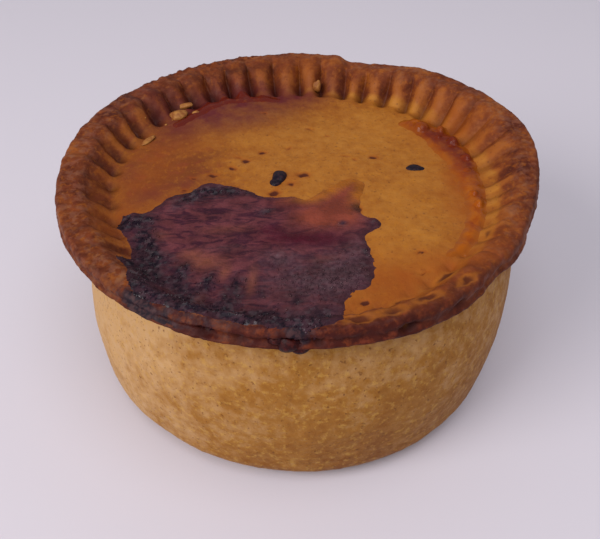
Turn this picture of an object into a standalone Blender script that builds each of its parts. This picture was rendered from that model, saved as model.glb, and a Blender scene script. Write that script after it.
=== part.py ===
"""A raised hotpot pie: one solid of baked crust with a sunken lid and a crimped rim.

The pie is turned about +Z as a stack of rings. Each ring is a circle that a few named waves
push out of round, and the crimps of the rim are ribs and grooves cut across its inner face.
The photographed front faces -Y. Units are metres, angles in the tables are degrees from +X.
"""

import math
import random

import bmesh
import bpy
from mathutils import Matrix, Vector

MM = 0.001

# Driving sizes
RIM_RADIUS = 55.2 * MM
RIM_HEIGHT = 53.8 * MM
RIM_FACE_HEIGHT = 4.1 * MM
WALL_TOP_RADIUS = 48.2 * MM
WALL_FOOT_RADIUS = 51.8 * MM
WALL_BELLY = 2.2 * MM
WALL_FOOT_ROUNDING = 8.0 * MM
LID_RADIUS = 44.3 * MM
LID_HEIGHT = 48.9 * MM
LID_CROWN = 0.4 * MM
LEDGE_WIDTH = 5.1 * MM

# The rim's outer face is the lid's edge laid over the case's edge. The crease between them is
# open in front and pinched shut elsewhere, with torn hollows in it: (angle, spread, depth).
# The levels of the case's edge, the crease and the lid's edge are shares of the face's height
FACE_LEVELS = 0.22, 0.49, 0.76
CREASE_DEPTH = 0.9 * MM
CREASE_SHUT, CREASE_OPEN = 0.1, 0.35
OPEN_EDGE_AT = (-98, 28)
HOLLOWS = ((-110, 1.9, 1.5 * MM), (-102, 1.1, 0.7 * MM), (-94, 2.3, 1.6 * MM), (-87.5, 1.0, 0.9 * MM),
           (-69, 2.2, 1.2 * MM), (-57, 1.6, 0.8 * MM))
LOWER_EDGE_SWELL = 0.3 * MM
LIP_UNDERCUT = 1.0 * MM
# The face leans in where the burnt gravy ran over it. It is pinched thin at the front left and
# hangs lower at the front right, (angle, spread, drop), where its underside slopes into the wall
FACE_SLANT, FACE_SLANT_AT = 1.4 * MM, (-113, 20)
LIP_DROPS = ((-125, 16, -1.2 * MM), (-62, 28, 1.1 * MM))
SOFT_UNDERSIDE, SOFT_UNDERSIDE_AT = 1.6 * MM, (-48, 30)

# Crimps: finger-wide ribs all round, one groove just past the back of the pie
CRIMPS = 47
FIRST_GROOVE = 90.3
GROOVE_WANDER = 0.7
CRIMP_LEAN = 2.0
CRIMP_SEED = 11
FOOT_WANDER = 1.3
STEPS_ACROSS_CRIMP = (0.0, 0.13, 0.31, 0.5, 0.69, 0.87)
RIB_DEPTH = 1.45 * MM
RIB_FULLNESS = 0.85
RIB_BOLDNESS = (0.75, 1.1)
MEAN_RIB = 0.5
# Low on the rim's inner face the ribs are narrower knuckles with a pocket pressed in between them
KNUCKLE_SHARPNESS = 1.6
MEAN_KNUCKLE = 0.42
POCKET_DEPTH = 1.2 * MM
POCKET_WIDTH = 0.85
POCKET_FULL_AT = 2.6 * MM
RIB_TOE = 2.4 * MM

# How the hand-raised shape leaves a true circle: (times round, size, angle of the first peak)
RIM_OUTLINE = ((1, 1.53 * MM, 123), (3, 1.08 * MM, 18), (4, 0.65 * MM, 15), (5, 0.5 * MM, 20))
RIM_RISE = ((1, 1.14 * MM, 106), (2, 0.36 * MM, 73), (3, 0.78 * MM, 38))
WALL_TOP_OUTLINE = ((1, 0.73 * MM, 0), (2, 0.75 * MM, -77), (3, 0.33 * MM, 55))
WALL_FOOT_OUTLINE = ((1, 1.55 * MM, 134), (2, 0.59 * MM, 31), (3, 0.79 * MM, 54))
LID_OUTLINE = ((1, 1.06 * MM, -137), (2, 0.73 * MM, -77), (3, 0.98 * MM, 29))
LID_RISE = ((1, 0.52 * MM, 138), (2, 0.75 * MM, -35))
LEDGE_OUTLINE = ((1, 0.9 * MM, 124), (2, 0.38 * MM, 0))
RIB_OUTLINE = ((1, 1.15 * MM, 105), (2, 0.35 * MM, 105))

# Dents and bulges that pinching left in the rim's outline: (angle, spread, size)
RIM_PINCHES = ((-44, 6, -0.8 * MM), (-32, 6, 0.5 * MM), (15, 8, 0.35 * MM), (49, 8, 0.45 * MM), (200, 16, 0.6 * MM))

# At the back left the wall's top swells out under the deepest crimps
WALL_SHOULDER, WALL_SHOULDER_AT = 1.1 * MM, (143, 28)
# Behind on the right the rim drops by a step where its pinched edge was joined
STEP_ANGLE, STEP_END, STEP_DROP = 77.0, 52.0, 1.5 * MM
# At the front left the crimps run on over the lid's edge
LONG_RIBS_AT, LONG_RIBS_REACH = (242, 20), 4.0 * MM

# Slow swells of the lid: (size, waves per metre along x, along y, start of the wave in radians)
LID_SWELLS = ((0.3 * MM, 130.0, 110.0, 0.8), (0.18 * MM, -170.0, 230.0, 0.0))

# Mesh fineness below and inside the crimps
WALL_RINGS = 5
CORNER_RINGS = 4
COLUMNS_PER_WALL_COLUMN = 3
LID_RING_STEPS = (8.0 * MM, 15.0 * MM, 23.0 * MM, 31.0 * MM, 38.0 * MM)
SPARSE_LID_RADIUS = 12.0 * MM

# Fused lumps: (name, x, y, height over the lid, half sizes x, y, z), all in millimetres
LUMPS = (
    ("pastry_crumb_left", -32.1, 29.5, 1.0, (2.3, 1.9, 1.4)),
    ("pastry_crumb_back", 4.9, 43.9, 1.3, (1.1, 1.3, 1.7)),
    ("vent_gravy_plug", -5.3, 0.2, 0.1, (2.1, 3.1, 1.4)),
    ("gravy_spot", 27.2, 4.3, -0.2, (2.3, 0.9, 0.7)),
    ("gravy_bead_back", 31.3, 22.3, 0.0, (2.0, 1.9, 1.0)),
    ("gravy_bead_mid", 38.3, 15.3, 0.0, (1.6, 1.6, 1.0)),
    ("gravy_bead_near", 40.3, 7.9, 0.0, (1.3, 1.3, 0.8)),
    ("gravy_bead_front", 39.5, -11.7, 0.0, (1.1, 1.1, 0.8)),
    ("gravy_drip", -2.7, -54.2, 1.6, (2.1, 1.3, 1.5)),
)


def wave(terms, angle):
    """Sum of the waves that a table of (times round, size, peak) describes."""
    return sum(size * math.cos(times * (angle - math.radians(peak))) for times, size, peak in terms)


def smooth(low, high, value):
    """Rises from 0 to 1 between low and high, and falls if high is the lower one."""
    share = min(max((value - low) / (high - low), 0.0), 1.0)
    return share * share * (3.0 - 2.0 * share)


def rim_step(angle):
    """The drop just past the join, which fades out over the next crimps."""
    turn = math.degrees(angle) % 360.0
    fading = smooth(STEP_END, STEP_ANGLE - 4.0, turn)
    starting = smooth(STEP_ANGLE + 2.0, STEP_ANGLE - 3.0, turn)
    return STEP_DROP * fading * starting


def near(angle, degrees, spread):
    """1 at an angle in degrees, falling to 0 within about twice the spread of it."""
    away = (math.degrees(angle) - degrees + 180.0) % 360.0 - 180.0
    return math.exp(-((away / spread) ** 2))


def rim_radius(angle):
    pinched = sum(size * near(angle, degrees, spread) for degrees, spread, size in RIM_PINCHES)
    return RIM_RADIUS + wave(RIM_OUTLINE, angle) + pinched


def rim_height(angle):
    return RIM_HEIGHT + wave(RIM_RISE, angle) - rim_step(angle)


def lip_height(angle):
    """The level of the rim's lower edge."""
    drop = sum(size * near(angle, degrees, spread) for degrees, spread, size in LIP_DROPS)
    return rim_height(angle) - RIM_FACE_HEIGHT - drop


def undercut(angle):
    """How far below the rim's lower edge its underside meets the wall."""
    return LIP_UNDERCUT + SOFT_UNDERSIDE * near(angle, *SOFT_UNDERSIDE_AT)


def wall_top_radius(angle):
    return WALL_TOP_RADIUS + wave(WALL_TOP_OUTLINE, angle) + WALL_SHOULDER * near(angle, *WALL_SHOULDER_AT)


def lid_radius(angle):
    return LID_RADIUS + wave(LID_OUTLINE, angle)


def lid_edge_height(angle):
    return LID_HEIGHT + wave(LID_RISE, angle)


def lid_height(radius, angle):
    """The lid settles towards a low crown, with the slow swells of dough over meat."""
    inwards = smooth(1.0, 0.0, radius / lid_radius(angle))
    x, y = radius * math.cos(angle), radius * math.sin(angle)
    level = lid_edge_height(angle) * (1.0 - inwards) + (LID_HEIGHT + LID_CROWN) * inwards
    swells = (size * math.sin(across * x + start) * math.cos(along * y)
              for size, across, along, start in LID_SWELLS)
    return level + sum(swells)


def groove_angles():
    """Where the grooves lie, with the uneven spacing of crimping by hand, and the last one again."""
    draw = random.Random(CRIMP_SEED)
    pitch = 360.0 / CRIMPS
    angles = [FIRST_GROOVE + pitch * i + draw.uniform(-GROOVE_WANDER, GROOVE_WANDER) for i in range(CRIMPS)]
    angles.append(angles[0] + 360.0)
    return [math.radians(angle) for angle in angles]


def crimp_columns():
    """(angle, rib, bend) of each column of the rim.

    rib runs from 0 in a groove to 1 on a rib's crown, and bend is how far the column's foot is
    turned aside, because no two pinches point the same way.
    """
    draw_boldness, draw_bend = random.Random(CRIMP_SEED + 1), random.Random(CRIMP_SEED + 2)
    angles = groove_angles()
    bends = [math.radians(draw_bend.uniform(-FOOT_WANDER, FOOT_WANDER)) for _ in range(CRIMPS)]
    bends.append(bends[0])
    columns = []
    for i in range(CRIMPS):
        boldness = draw_boldness.uniform(*RIB_BOLDNESS)
        for share in STEPS_ACROSS_CRIMP:
            rib = math.sin(math.pi * share) ** RIB_FULLNESS * boldness
            angle, bend = (ends[i] + share * (ends[i + 1] - ends[i]) for ends in (angles, bends))
            columns.append((angle, rib, bend))
    return columns


def crease_depth(angle):
    """How far the crease between the two edges goes in, with the hollows torn in it."""
    torn = sum(size * near(angle, degrees, spread) for degrees, spread, size in HOLLOWS)
    return CREASE_DEPTH * (CREASE_SHUT + CREASE_OPEN * near(angle, *OPEN_EDGE_AT)) + torn


def rim_section(angle, rib, bend):
    """Points (angle, radius, height) of the rim, from the wall's top over the rim to the lid."""
    lean = math.radians(-CRIMP_LEAN * math.cos(angle)) + bend
    depth = RIB_DEPTH + wave(RIB_OUTLINE, angle)
    ribbed = depth * (rib - MEAN_RIB)
    knuckled = depth * (rib ** KNUCKLE_SHARPNESS - MEAN_KNUCKLE)
    in_groove = max(1.0 - rib / POCKET_WIDTH, 0.0)
    pocket = POCKET_DEPTH * in_groove * min(depth / POCKET_FULL_AT, 1.0)

    def point(turned, radius, height, outwards=0.0, upwards=0.0, relief=ribbed):
        """A point turned by a share of the lean, and moved by shares of the crimp's relief."""
        return (angle + lean * turned, radius + relief * outwards, height + relief * upwards)

    edge, top = rim_radius(angle), rim_height(angle)
    lip, under = lip_height(angle), undercut(angle)
    low_edge, crease, high_edge = (lip + share * (top - lip) for share in FACE_LEVELS)
    crest = edge - LEDGE_WIDTH - wave(LEDGE_OUTLINE, angle)
    slant = FACE_SLANT * near(angle, *FACE_SLANT_AT)
    inner = angle + lean
    foot, floor = lid_radius(inner), lid_edge_height(inner)
    long_rib = near(angle, *LONG_RIBS_AT)
    toe = foot - RIB_TOE - LONG_RIBS_REACH * long_rib

    def face(inwards, down):
        """A point on the inner face, between the crest and the lid's edge."""
        return crest + inwards * (foot - crest), top + down * (floor - top)

    low_radius, low_height = face(0.70, 0.80)
    return [
        point(0.0, wall_top_radius(angle) + LOWER_EDGE_SWELL, lip - under),  # seam under the lip
        point(0.0, edge - 1.5 * MM, lip + 0.25 * MM - 0.35 * under),  # underside of the lip
        point(0.0, edge + LOWER_EDGE_SWELL, low_edge, 0.1),  # case's edge
        point(0.0, edge - 0.3 * slant - crease_depth(angle), crease),
        point(0.0, edge - 0.5 * slant, high_edge, 0.1),  # lid's edge
        point(0.0, edge - slant - 0.6 * MM, top + 0.1 * MM, 0.0, 0.08),  # outer corner of the ledge
        point(0.1, 0.5 * (edge - slant + crest), top + 0.2 * MM, 0.0, 0.18),  # ledge
        point(0.25, crest, top, -0.15, 0.33),  # crest
        point(0.5, *face(0.34, 0.36), -0.7, 0.7),
        point(0.75, low_radius, low_height - 0.4 * pocket, -0.3, 0.85, knuckled),
        point(1.0, foot, floor - pocket, -0.3, 0.5, knuckled),  # lid's edge at the ribs' feet
        point(1.0, toe, lid_height(toe, inner), 0.0, 0.06 + 0.8 * long_rib),
    ]


def wall_section(angle):
    """Points (angle, radius, height) from the flat base up the wall, without the rim's seam."""
    foot = WALL_FOOT_RADIUS + wave(WALL_FOOT_OUTLINE, angle)
    head = wall_top_radius(angle)
    top = lip_height(angle) - undercut(angle)
    rounding = WALL_FOOT_ROUNDING
    points = []
    for i in range(CORNER_RINGS):
        turn = 0.5 * math.pi * i / CORNER_RINGS
        points.append((angle, foot - rounding * (1.0 - math.sin(turn)), rounding * (1.0 - math.cos(turn))))
    for i in range(WALL_RINGS):
        share = i / WALL_RINGS
        belly = 4.0 * WALL_BELLY * share * (1.0 - share)
        points.append((angle, foot + (head - foot) * share + belly, rounding + (top - rounding) * share))
    return points


def lay_ring(mesh, points):
    """Vertices at cylindrical points, in order round the pie."""
    return [mesh.verts.new((r * math.cos(a), r * math.sin(a), z)) for a, r, z in points]


def skin(mesh, fine_ring, coarse_ring):
    """Joins two rings laid the same way round. Where one is finer, each coarse side takes a fan."""
    if len(fine_ring) < len(coarse_ring):
        fine_ring, coarse_ring = coarse_ring, fine_ring
    ratio = len(fine_ring) // len(coarse_ring)
    middle = (ratio + 1) // 2
    for i, (here, there) in enumerate(zip(coarse_ring, coarse_ring[1:] + coarse_ring[:1])):
        fine = [fine_ring[(i * ratio + j) % len(fine_ring)] for j in range(ratio + 1)]
        if ratio == 1:
            mesh.faces.new((*fine, there, here))
            continue
        for j in range(ratio):
            mesh.faces.new((fine[j], fine[j + 1], here if j < middle else there))
        mesh.faces.new((fine[middle], there, here))


def crust_mesh():
    """The whole pie as one closed skin, from its flat base up and over to the lid's middle."""
    mesh = bmesh.new()
    columns = crimp_columns()
    coarse = [angle for angle, _, _ in columns[::COLUMNS_PER_WALL_COLUMN]]
    rings = [lay_ring(mesh, level) for level in zip(*(wall_section(angle) for angle in coarse))]
    rings += [lay_ring(mesh, level) for level in zip(*(rim_section(*column) for column in columns))]
    for step in LID_RING_STEPS:
        spread = coarse if LID_RADIUS - step > SPARSE_LID_RADIUS else coarse[::2]
        level = [(a, lid_radius(a) - step, lid_height(lid_radius(a) - step, a)) for a in spread]
        rings.append(lay_ring(mesh, level))
    for below, above in zip(rings[:-1], rings[1:]):
        skin(mesh, below, above)
    mesh.faces.new(reversed(rings[0]))
    middle = mesh.verts.new((0.0, 0.0, lid_height(0.0, 0.0)))
    last = rings[-1]
    for here, there in zip(last, last[1:] + last[:1]):
        mesh.faces.new((here, there, middle))
    bmesh.ops.recalc_face_normals(mesh, faces=mesh.faces[:])
    return mesh


def crust_material():
    material = bpy.data.materials.new("baked_crust")
    material.use_nodes = True
    shader = material.node_tree.nodes["Principled BSDF"]
    shader.inputs["Base Color"].default_value = (0.33, 0.135, 0.035, 1.0)
    shader.inputs["Roughness"].default_value = 0.55
    shader.inputs["Metallic"].default_value = 0.0
    return material


def add_object(name, mesh, collection):
    data = bpy.data.meshes.new(name)
    mesh.to_mesh(data)
    mesh.free()
    thing = bpy.data.objects.new(name, data)
    collection.objects.link(thing)
    return thing


def add_lump(name, x, y, over_lid, half_sizes, collection):
    """A rounded lump that sits partly sunk in the crust."""
    x, y = x * MM, y * MM
    radius, angle = math.hypot(x, y), math.atan2(y, x)
    level = lid_height(min(radius, lid_radius(angle)), angle) + over_lid * MM
    place = Matrix.LocRotScale(Vector((x, y, level)), None, Vector(half_sizes) * MM)
    mesh = bmesh.new()
    bmesh.ops.create_icosphere(mesh, subdivisions=2, radius=1.0, matrix=place)
    return add_object(name, mesh, collection)


def fuse(body, lumps):
    """One union of the crust with every lump, after which the lumps are gone."""
    union = body.modifiers.new("fused_lumps", "BOOLEAN")
    union.operation = "UNION"
    union.operand_type = "COLLECTION"
    union.collection = lumps
    union.solver = "EXACT"
    graph = bpy.context.evaluated_depsgraph_get()
    fused = bpy.data.meshes.new_from_object(body.evaluated_get(graph))
    body.modifiers.remove(union)
    body.data = fused
    for lump in list(lumps.objects):
        bpy.data.objects.remove(lump)
    bpy.data.collections.remove(lumps)


def centre_on_base(body):
    """Moves the mesh so that the origin lies under the middle of its box, on the base."""
    points = [vertex.co for vertex in body.data.vertices]
    low = [min(point[axis] for point in points) for axis in range(3)]
    high = [max(point[axis] for point in points) for axis in range(3)]
    middle = Vector(((low[0] + high[0]) / 2, (low[1] + high[1]) / 2, low[2]))
    body.data.transform(Matrix.Translation(-middle))


def build():
    for thing in list(bpy.data.objects):
        bpy.data.objects.remove(thing)
    scene = bpy.context.scene.collection
    pie = add_object("raised_pie", crust_mesh(), scene)
    lumps = bpy.data.collections.new("lumps")
    scene.children.link(lumps)
    for lump in LUMPS:
        add_lump(*lump, lumps)
    fuse(pie, lumps)
    centre_on_base(pie)
    pie.data.materials.clear()
    pie.data.materials.append(crust_material())
    pie.data.shade_smooth()
    pie.data.set_sharp_from_angle(angle=math.radians(50))


build()
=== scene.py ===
"""A hand-raised lamb hotpot pie: baked case and lid, crimped rim, gravy boiled over and burnt."""

import math
import random

import bmesh
import bpy
import numpy as np
from mathutils import Matrix, Vector
from mathutils.bvhtree import BVHTree


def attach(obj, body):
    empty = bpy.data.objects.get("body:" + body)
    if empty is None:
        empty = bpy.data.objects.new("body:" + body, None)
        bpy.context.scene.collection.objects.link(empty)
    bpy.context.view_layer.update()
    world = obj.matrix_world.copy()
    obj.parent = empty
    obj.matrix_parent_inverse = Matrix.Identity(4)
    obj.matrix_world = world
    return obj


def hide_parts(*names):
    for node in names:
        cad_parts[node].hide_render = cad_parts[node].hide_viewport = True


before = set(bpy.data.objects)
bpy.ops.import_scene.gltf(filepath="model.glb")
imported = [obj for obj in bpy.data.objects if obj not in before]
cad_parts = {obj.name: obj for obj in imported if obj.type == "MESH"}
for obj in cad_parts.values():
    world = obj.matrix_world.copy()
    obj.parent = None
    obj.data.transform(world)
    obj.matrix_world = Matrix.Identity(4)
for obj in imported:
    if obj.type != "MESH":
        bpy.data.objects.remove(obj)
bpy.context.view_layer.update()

# ---- The raised case -------------------------------------------------------------------------
# The wall and the base, one piece of hot-water pastry raised by hand, with its top edge folded in
# under the lid's. It is paler than the rim, which shades it, and browner on the right and low down.
MM = 0.001
AXIS_X, AXIS_Y = 0.07 * MM, -0.78 * MM  # the axis that the pie was turned on, beside its box's middle
# An outline or a rise is a few slow waves that push a circle or a level out of true, each given as
# (times round, size, angle of its first peak in degrees). A place round the pie is (angle, width)
# in degrees, and the size there is put after them or under its own name.
WALL_TOP_RADIUS = 48.2 * MM
WALL_TOP_OUTLINE = ((1, 0.73 * MM, 0), (2, 0.75 * MM, -77), (3, 0.33 * MM, 55))
WALL_SHOULDER, WALL_SHOULDER_AT = 1.1 * MM, (143, 28)
WALL_BELLY = 2.2 * MM
WALL_FOOT_RADIUS = 51.8 * MM
WALL_FOOT_OUTLINE = ((1, 1.55 * MM, 134), (2, 0.59 * MM, 31), (3, 0.79 * MM, 54))
WALL_FOOT_ROUNDING = 8.0 * MM
RIM_HEIGHT = 53.8 * MM
RIM_RISE = ((1, 1.14 * MM, 106), (2, 0.36 * MM, 73), (3, 0.78 * MM, 38))
RIM_FACE_HEIGHT = 4.1 * MM
STEP_ANGLE, STEP_END, STEP_DROP = 77.0, 52.0, 1.5 * MM
LIP_DROPS = ((-125, 16, -1.2 * MM), (-62, 28, 1.1 * MM))
LIP_UNDERCUT = 1.0 * MM
SOFT_UNDERSIDE, SOFT_UNDERSIDE_AT = 1.6 * MM, (-48, 30)
LID_RADIUS = 44.3 * MM
LID_OUTLINE = ((1, 1.06 * MM, -137), (2, 0.73 * MM, -77), (3, 0.98 * MM, 29))
LID_HEIGHT = 48.9 * MM
LID_RISE = ((1, 0.52 * MM, 138), (2, 0.75 * MM, -35))
CASE_THICKNESS = 5.0 * MM
CASE_COLUMNS, FOOT_RINGS, WALL_RINGS = 480, 12, 56
# The wall's top edge as it turns in under the rim, as (outwards, upwards)
TOP_EDGE = ((0.0, 0.2 * MM), (-1.2 * MM, -1.4 * MM), (-2.5 * MM, -3.2 * MM))
PALE_WALL = (0.49, 0.28, 0.115, 1.0)
GOLDEN_WALL = (0.3, 0.122, 0.018, 1.0)
BROWN_WALL = (0.17, 0.048, 0.008, 1.0)
PRICK_BROWN = (0.12, 0.036, 0.008, 1.0)


def wave(terms, turn):
    """Sum of the waves that a table of (times round, size, peak) describes."""
    return sum(size * np.cos(times * (turn - math.radians(peak))) for times, size, peak in terms)


def ease(low, high, value):
    """Rises smoothly from 0 to 1 between low and high, and falls if high is the lower one."""
    share = np.clip((value - low) / (high - low), 0.0, 1.0)
    return share * share * (3.0 - 2.0 * share)


def near(turn, degrees, width):
    """1 at an angle, falling to 0 within about twice the width of it, in degrees."""
    away = (np.degrees(turn) - degrees + 180.0) % 360.0 - 180.0
    return np.exp(-((away / width) ** 2))


def rim_height(turn):
    """The rim's top, with the step where its pinched edge was joined behind on the right."""
    degrees = np.degrees(turn) % 360.0
    step = ease(STEP_END, STEP_ANGLE - 4.0, degrees) * ease(STEP_ANGLE + 2.0, STEP_ANGLE - 3.0, degrees)
    return RIM_HEIGHT + wave(RIM_RISE, turn) - STEP_DROP * step


def lip_height(turn):
    """The rim's lower edge, which hangs low at the front right and is thin at the front left."""
    dropped = sum(size * near(turn, angle, width) for angle, width, size in LIP_DROPS)
    return rim_height(turn) - RIM_FACE_HEIGHT - dropped


def undercut(turn):
    """How far the rim's underside slopes down to meet the wall."""
    return LIP_UNDERCUT + SOFT_UNDERSIDE * near(turn, *SOFT_UNDERSIDE_AT)


def wall_top_radius(turn):
    return WALL_TOP_RADIUS + wave(WALL_TOP_OUTLINE, turn) + WALL_SHOULDER * near(turn, *WALL_SHOULDER_AT)


def lid_radius(turn):
    return LID_RADIUS + wave(LID_OUTLINE, turn)


def lid_edge_height(turn):
    return LID_HEIGHT + wave(LID_RISE, turn)


def stand(turn, radius, height):
    """Points in the frame, from the turn round the pie's axis, the radius and the height."""
    turn, radius, height = np.broadcast_arrays(turn, radius, height)
    return np.stack([AXIS_X + radius * np.cos(turn), AXIS_Y + radius * np.sin(turn), height], axis=-1)


def add_object(name, data):
    """An object for a mesh, a light or a camera, set in the scene."""
    thing = bpy.data.objects.new(name, data)
    bpy.context.scene.collection.objects.link(thing)
    return thing


def mark(mesh, name, values):
    """Keeps one number for each point of a mesh, for its material or its nodes to read."""
    spot = mesh.attributes.get(name) or mesh.attributes.new(name, "FLOAT", "POINT")
    spot.data.foreach_set("value", np.asarray(values, dtype=np.float32))


def weave(name, rings, masks):
    """A closed skin over rings laid from the middle below to the middle above.

    A ring may have half or twice the points of the one before. masks holds, for each name, one
    array of values for each ring, and becomes attributes of the mesh.
    """
    starts = np.cumsum([0] + [len(ring) for ring in rings])
    faces = []
    for a, b, below, above in zip(starts, starts[1:], rings[:-1], rings[1:]):
        n, m = len(below), len(above)
        if n == m:
            faces += [(a + i, a + (i + 1) % n, b + (i + 1) % n, b + i) for i in range(n)]
        elif n > m:
            for i in range(m):
                left, mid, right = a + 2 * i, a + 2 * i + 1, a + (2 * i + 2) % n
                here, after = b + i, b + (i + 1) % m
                faces += [(left, mid, here), (mid, after, here), (mid, right, after)]
        else:
            for i in range(n):
                left, mid, right = b + 2 * i, b + 2 * i + 1, b + (2 * i + 2) % m
                here, after = a + i, a + (i + 1) % n
                faces += [(here, mid, left), (here, after, mid), (after, right, mid)]
    bottom, top = starts[-1], starts[-1] + 1
    first, last = len(rings[0]), len(rings[-1])
    faces += [(bottom, (i + 1) % first, i) for i in range(first)]
    faces += [(top, starts[-2] + i, starts[-2] + (i + 1) % last) for i in range(last)]
    points = np.concatenate([*rings, [rings[0].mean(axis=0)], [rings[-1].mean(axis=0)]])
    mesh = bpy.data.meshes.new(name)
    mesh.from_pydata(points.tolist(), [], faces)
    for mask, values in masks.items():
        mark(mesh, mask, np.concatenate([*values, [values[0].mean()], [values[-1].mean()]]))
    mesh.shade_smooth()
    return add_object(name, mesh)


turns = np.radians(np.arange(CASE_COLUMNS) * 360.0 / CASE_COLUMNS)
foot = WALL_FOOT_RADIUS + wave(WALL_FOOT_OUTLINE, turns)
head = wall_top_radius(turns)
wall_top = lip_height(turns) - undercut(turns)
rings = [stand(turns[::4], 0.45 * foot[::4], 0.0),
         stand(turns[::2], 0.8 * (foot - WALL_FOOT_ROUNDING)[::2], 0.0)]
for share in np.linspace(0.0, 1.0, FOOT_RINGS + 1)[:-1]:
    swing = 0.5 * math.pi * share
    rings.append(stand(turns, foot - WALL_FOOT_ROUNDING * (1.0 - math.sin(swing)),
                       WALL_FOOT_ROUNDING * (1.0 - math.cos(swing))))
for share in np.linspace(0.0, 1.0, WALL_RINGS + 1)[:-1]:
    belly = 4.0 * WALL_BELLY * share * (1.0 - share)
    rings.append(stand(turns, foot + (head - foot) * share + belly,
                       WALL_FOOT_ROUNDING + (wall_top - WALL_FOOT_ROUNDING) * share))
rings += [stand(turns, head + outwards, wall_top + upwards) for outwards, upwards in TOP_EDGE]
rings.append(stand(turns, lid_radius(turns) - 1.0 * MM, lid_edge_height(turns) - CASE_THICKNESS))
rings.append(stand(turns[::2], 0.5 * lid_radius(turns)[::2], LID_HEIGHT - CASE_THICKNESS))


def crumbly_under_rim(ring):
    """How crumbly the crust is at a ring: only at the front, close under the rim."""
    around = np.radians(np.arange(len(ring)) * 360.0 / len(ring))
    above = ring[:, 2] - wall_top.mean()
    return near(around, -90.0, 13.0) * ease(-8.0 * MM, -4.0 * MM, above) * ease(0.5 * MM, -1.5 * MM, above)


worked = [ease(0.0, 5.0 * MM, ring[:, 2]) for ring in rings]
crumbly = [crumbly_under_rim(ring) for ring in rings]
for mask in (worked, crumbly):
    mask[-2:] = [np.zeros(len(ring)) for ring in rings[-2:]]
case = weave("raised_case", rings, {"worked": worked, "craggy": crumbly})


def put(tree, kind, feeds=None, **settings):
    """Adds a node and gives its outputs.

    feeds gives inputs by name or number: a value, or the socket that feeds it.
    """
    node = tree.nodes.new(kind)
    for name, value in settings.items():
        setattr(node, name, value)
    for key, value in (feeds or {}).items():
        if isinstance(value, bpy.types.NodeSocket):
            tree.links.new(value, node.inputs[key])
        else:
            node.inputs[key].default_value = value
    return node.outputs


def work_out(kind, feeds, **settings):
    """Adds a node to the tree that its feeds come from, and gives its first output."""
    tree = next(value.id_data for value in feeds.values() if isinstance(value, bpy.types.NodeSocket))
    return put(tree, kind, feeds, **settings)[0]


def maths(operation, *values, clamp=False):
    return work_out("ShaderNodeMath", dict(enumerate(values)), operation=operation, use_clamp=clamp)


def plus(first, second, **how):
    return maths("ADD", first, second, **how)


def minus(first, second, **how):
    return maths("SUBTRACT", first, second, **how)


def times(first, second, **how):
    return maths("MULTIPLY", first, second, **how)


def noise(where, size, detail=3.0, roughness=0.55, warp=0.0):
    """Fine-grained noise from 0 to 1, whose largest forms are about size metres across."""
    feeds = {"Vector": where, "Scale": 1.0 / size, "Detail": detail, "Roughness": roughness,
             "Distortion": warp}
    return work_out("ShaderNodeTexNoise", feeds, noise_dimensions="3D")


def spread(value, low, high, to_low=0.0, to_high=1.0, kind="SMOOTHSTEP"):
    """Maps low..high to to_low..to_high."""
    feeds = {"Value": value, "From Min": low, "From Max": high, "To Min": to_low, "To Max": to_high}
    return work_out("ShaderNodeMapRange", feeds, interpolation_type=kind, clamp=True)


def along_axis(vector, axis):
    """One coordinate of a place or of a direction."""
    return put(vector.id_data, "ShaderNodeSeparateXYZ", {0: vector})[axis]


def blend(share, first, second, kind="MIX"):
    """Mixes two colours by a share from 0 to 1."""
    feeds = {"Fac": share, "Color1": first, "Color2": second}
    return work_out("ShaderNodeMixRGB", feeds, blend_type=kind)


def new_tree(kind, name, inputs, outputs):
    """A node group and what it is given. inputs and outputs say what kind each socket is."""
    tree = bpy.data.node_groups.new(name, kind)
    for way, sockets in (("INPUT", inputs), ("OUTPUT", outputs)):
        for socket, sort in sockets.items():
            tree.interface.new_socket(socket, in_out=way, socket_type="NodeSocket" + sort)
    return tree, put(tree, "NodeGroupInput")


def shaping_tree(name, sizes, seed="Float"):
    """A tree that works on a mesh, with inputs for its sizes, its seed and its material."""
    inputs = {"Geometry": "Geometry", **dict.fromkeys(sizes, "Float"), "Seed": seed, "Material": "Material"}
    return new_tree("GeometryNodeTree", name, inputs, {"Geometry": "Geometry"})


def finish_shaping(tree, given, shape):
    """Ends a geometry tree with real meshes in the material that it was given."""
    real = work_out("GeometryNodeRealizeInstances", {"Geometry": shape})
    dressed = work_out("GeometryNodeSetMaterial", {"Geometry": real, "Material": given["Material"]})
    put(tree, "NodeGroupOutput", {"Geometry": dressed})
    return tree


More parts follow.
